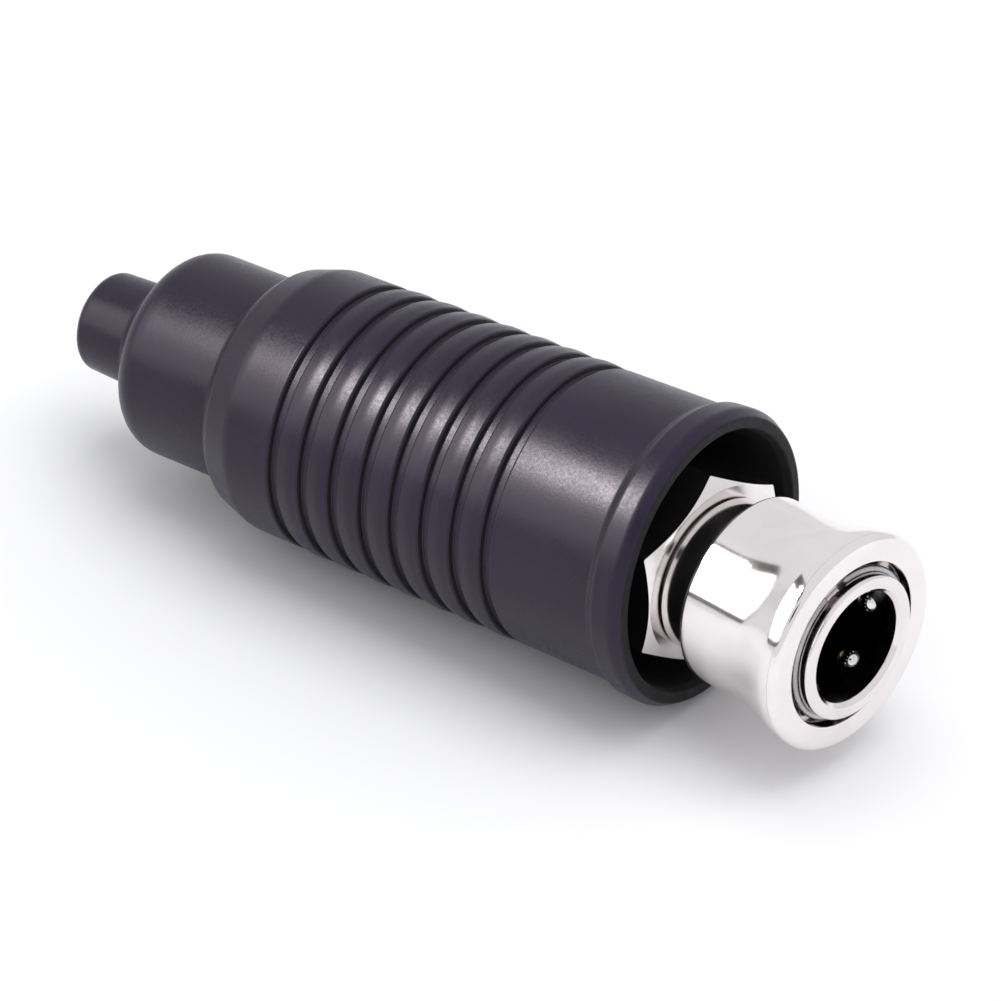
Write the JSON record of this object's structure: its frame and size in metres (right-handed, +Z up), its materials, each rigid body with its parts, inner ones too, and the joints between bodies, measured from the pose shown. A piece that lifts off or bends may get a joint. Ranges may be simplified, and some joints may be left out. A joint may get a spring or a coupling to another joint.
{
  "type": "quick disconnect coupler",
  "caption": "Socket half of a compressed-air quick coupler with a sprung locking sleeve, ball lock, shut-off valve, hose nut and a loose ribbed rubber boot.",
  "frame": {"origin": "on the socket's axis where the hose leaves the nut, which is the mount hose_grip. The surface that the boot lies on in the picture is 17.6 mm below it", "axes": "+X along the socket's axis towards its mouth, +Z up, +Y across"},
  "size_m": [0.1185, 0.0418, 0.0377],
  "materials": {
    "plated_body": "bright nickel plating, polished on the nose",
    "plated_sleeve": "bright nickel-chrome plating with fine turning lines",
    "plated_hex": "bright nickel plating over drawn hexagon bar",
    "spring_steel": "drawn spring wire",
    "ball_steel": "ground bearing steel",
    "brass": "turned brass",
    "seal_rubber": "smooth nitrile rubber",
    "boot_rubber": "moulded charcoal rubber, satin, with a fine matt grain"
  },
  "bodies": {
    "coupler_body": {"socket_body": "plated_body", "hex_adapter": "plated_hex", "snap_ring": "spring_steel", "plug_seal": "seal_rubber", "valve_guide": "brass", "body_o_ring": "seal_rubber", "clamp_ferrule": "brass", "sleeve_spring": "spring_steel", "valve_spring": "spring_steel"},
    "sleeve": {"lock_sleeve": "plated_sleeve"},
    "ball_1": {"locking_ball_1": "ball_steel"},
    "ball_2": {"locking_ball_2": "ball_steel"},
    "ball_3": {"locking_ball_3": "ball_steel"},
    "ball_4": {"locking_ball_4": "ball_steel"},
    "ball_5": {"locking_ball_5": "ball_steel"},
    "ball_6": {"locking_ball_6": "ball_steel"},
    "valve": {"valve_poppet": "brass", "valve_seal": "seal_rubber"},
    "nut": {"cap_nut": "plated_hex"},
    "boot": {"protective_boot": "boot_rubber"}
  },
  "joints": [
    {"name": "sleeve_slide", "type": "slide", "parent": "coupler_body", "child": "sleeve", "axis": [-1, 0, 0], "range_m": [0, 0.0048], "stiffness_N_per_m": 3000, "springref_m": -0.004, "deforming": ["sleeve_spring"]},
    {"name": "valve_slide", "type": "slide", "parent": "coupler_body", "child": "valve", "axis": [-1, 0, 0], "range_m": [0, 0.004], "stiffness_N_per_m": 800, "springref_m": -0.004, "deforming": ["valve_spring"]},
    {"name": "nut_turn", "type": "hinge", "parent": "coupler_body", "child": "nut", "pos_m": [0.011, 0, 0], "axis": [1, 0, 0], "continuous": true},
    {"name": "boot_slide", "type": "slide", "parent": "coupler_body", "child": "boot", "axis": [0.9981, 0.061, 0], "range_m": [-0.03, 0.024]},
    {"name": "ball_1_slide", "type": "slide", "parent": "coupler_body", "child": "ball_1", "axis": [0, 0.9945, 0.1045], "range_m": [0, 0.001]},
    {"name": "ball_2_slide", "type": "slide", "parent": "coupler_body", "child": "ball_2", "axis": [0, 0.4067, 0.9135], "range_m": [0, 0.001]},
    {"name": "ball_3_slide", "type": "slide", "parent": "coupler_body", "child": "ball_3", "axis": [0, -0.5878, 0.809], "range_m": [0, 0.001]},
    {"name": "ball_4_slide", "type": "slide", "parent": "coupler_body", "child": "ball_4", "axis": [0, -0.9945, -0.1045], "range_m": [0, 0.001]},
    {"name": "ball_5_slide", "type": "slide", "parent": "coupler_body", "child": "ball_5", "axis": [0, -0.4067, -0.9135], "range_m": [0, 0.001]},
    {"name": "ball_6_slide", "type": "slide", "parent": "coupler_body", "child": "ball_6", "axis": [0, 0.5878, -0.809], "range_m": [0, 0.001]}
  ],
  "couplings": [
    {"joint": "ball_1_slide", "follows": "sleeve_slide", "ratio": 0.2083},
    {"joint": "ball_2_slide", "follows": "sleeve_slide", "ratio": 0.2083},
    {"joint": "ball_3_slide", "follows": "sleeve_slide", "ratio": 0.2083},
    {"joint": "ball_4_slide", "follows": "sleeve_slide", "ratio": 0.2083},
    {"joint": "ball_5_slide", "follows": "sleeve_slide", "ratio": 0.2083},
    {"joint": "ball_6_slide", "follows": "sleeve_slide", "ratio": 0.2083}
  ]
}
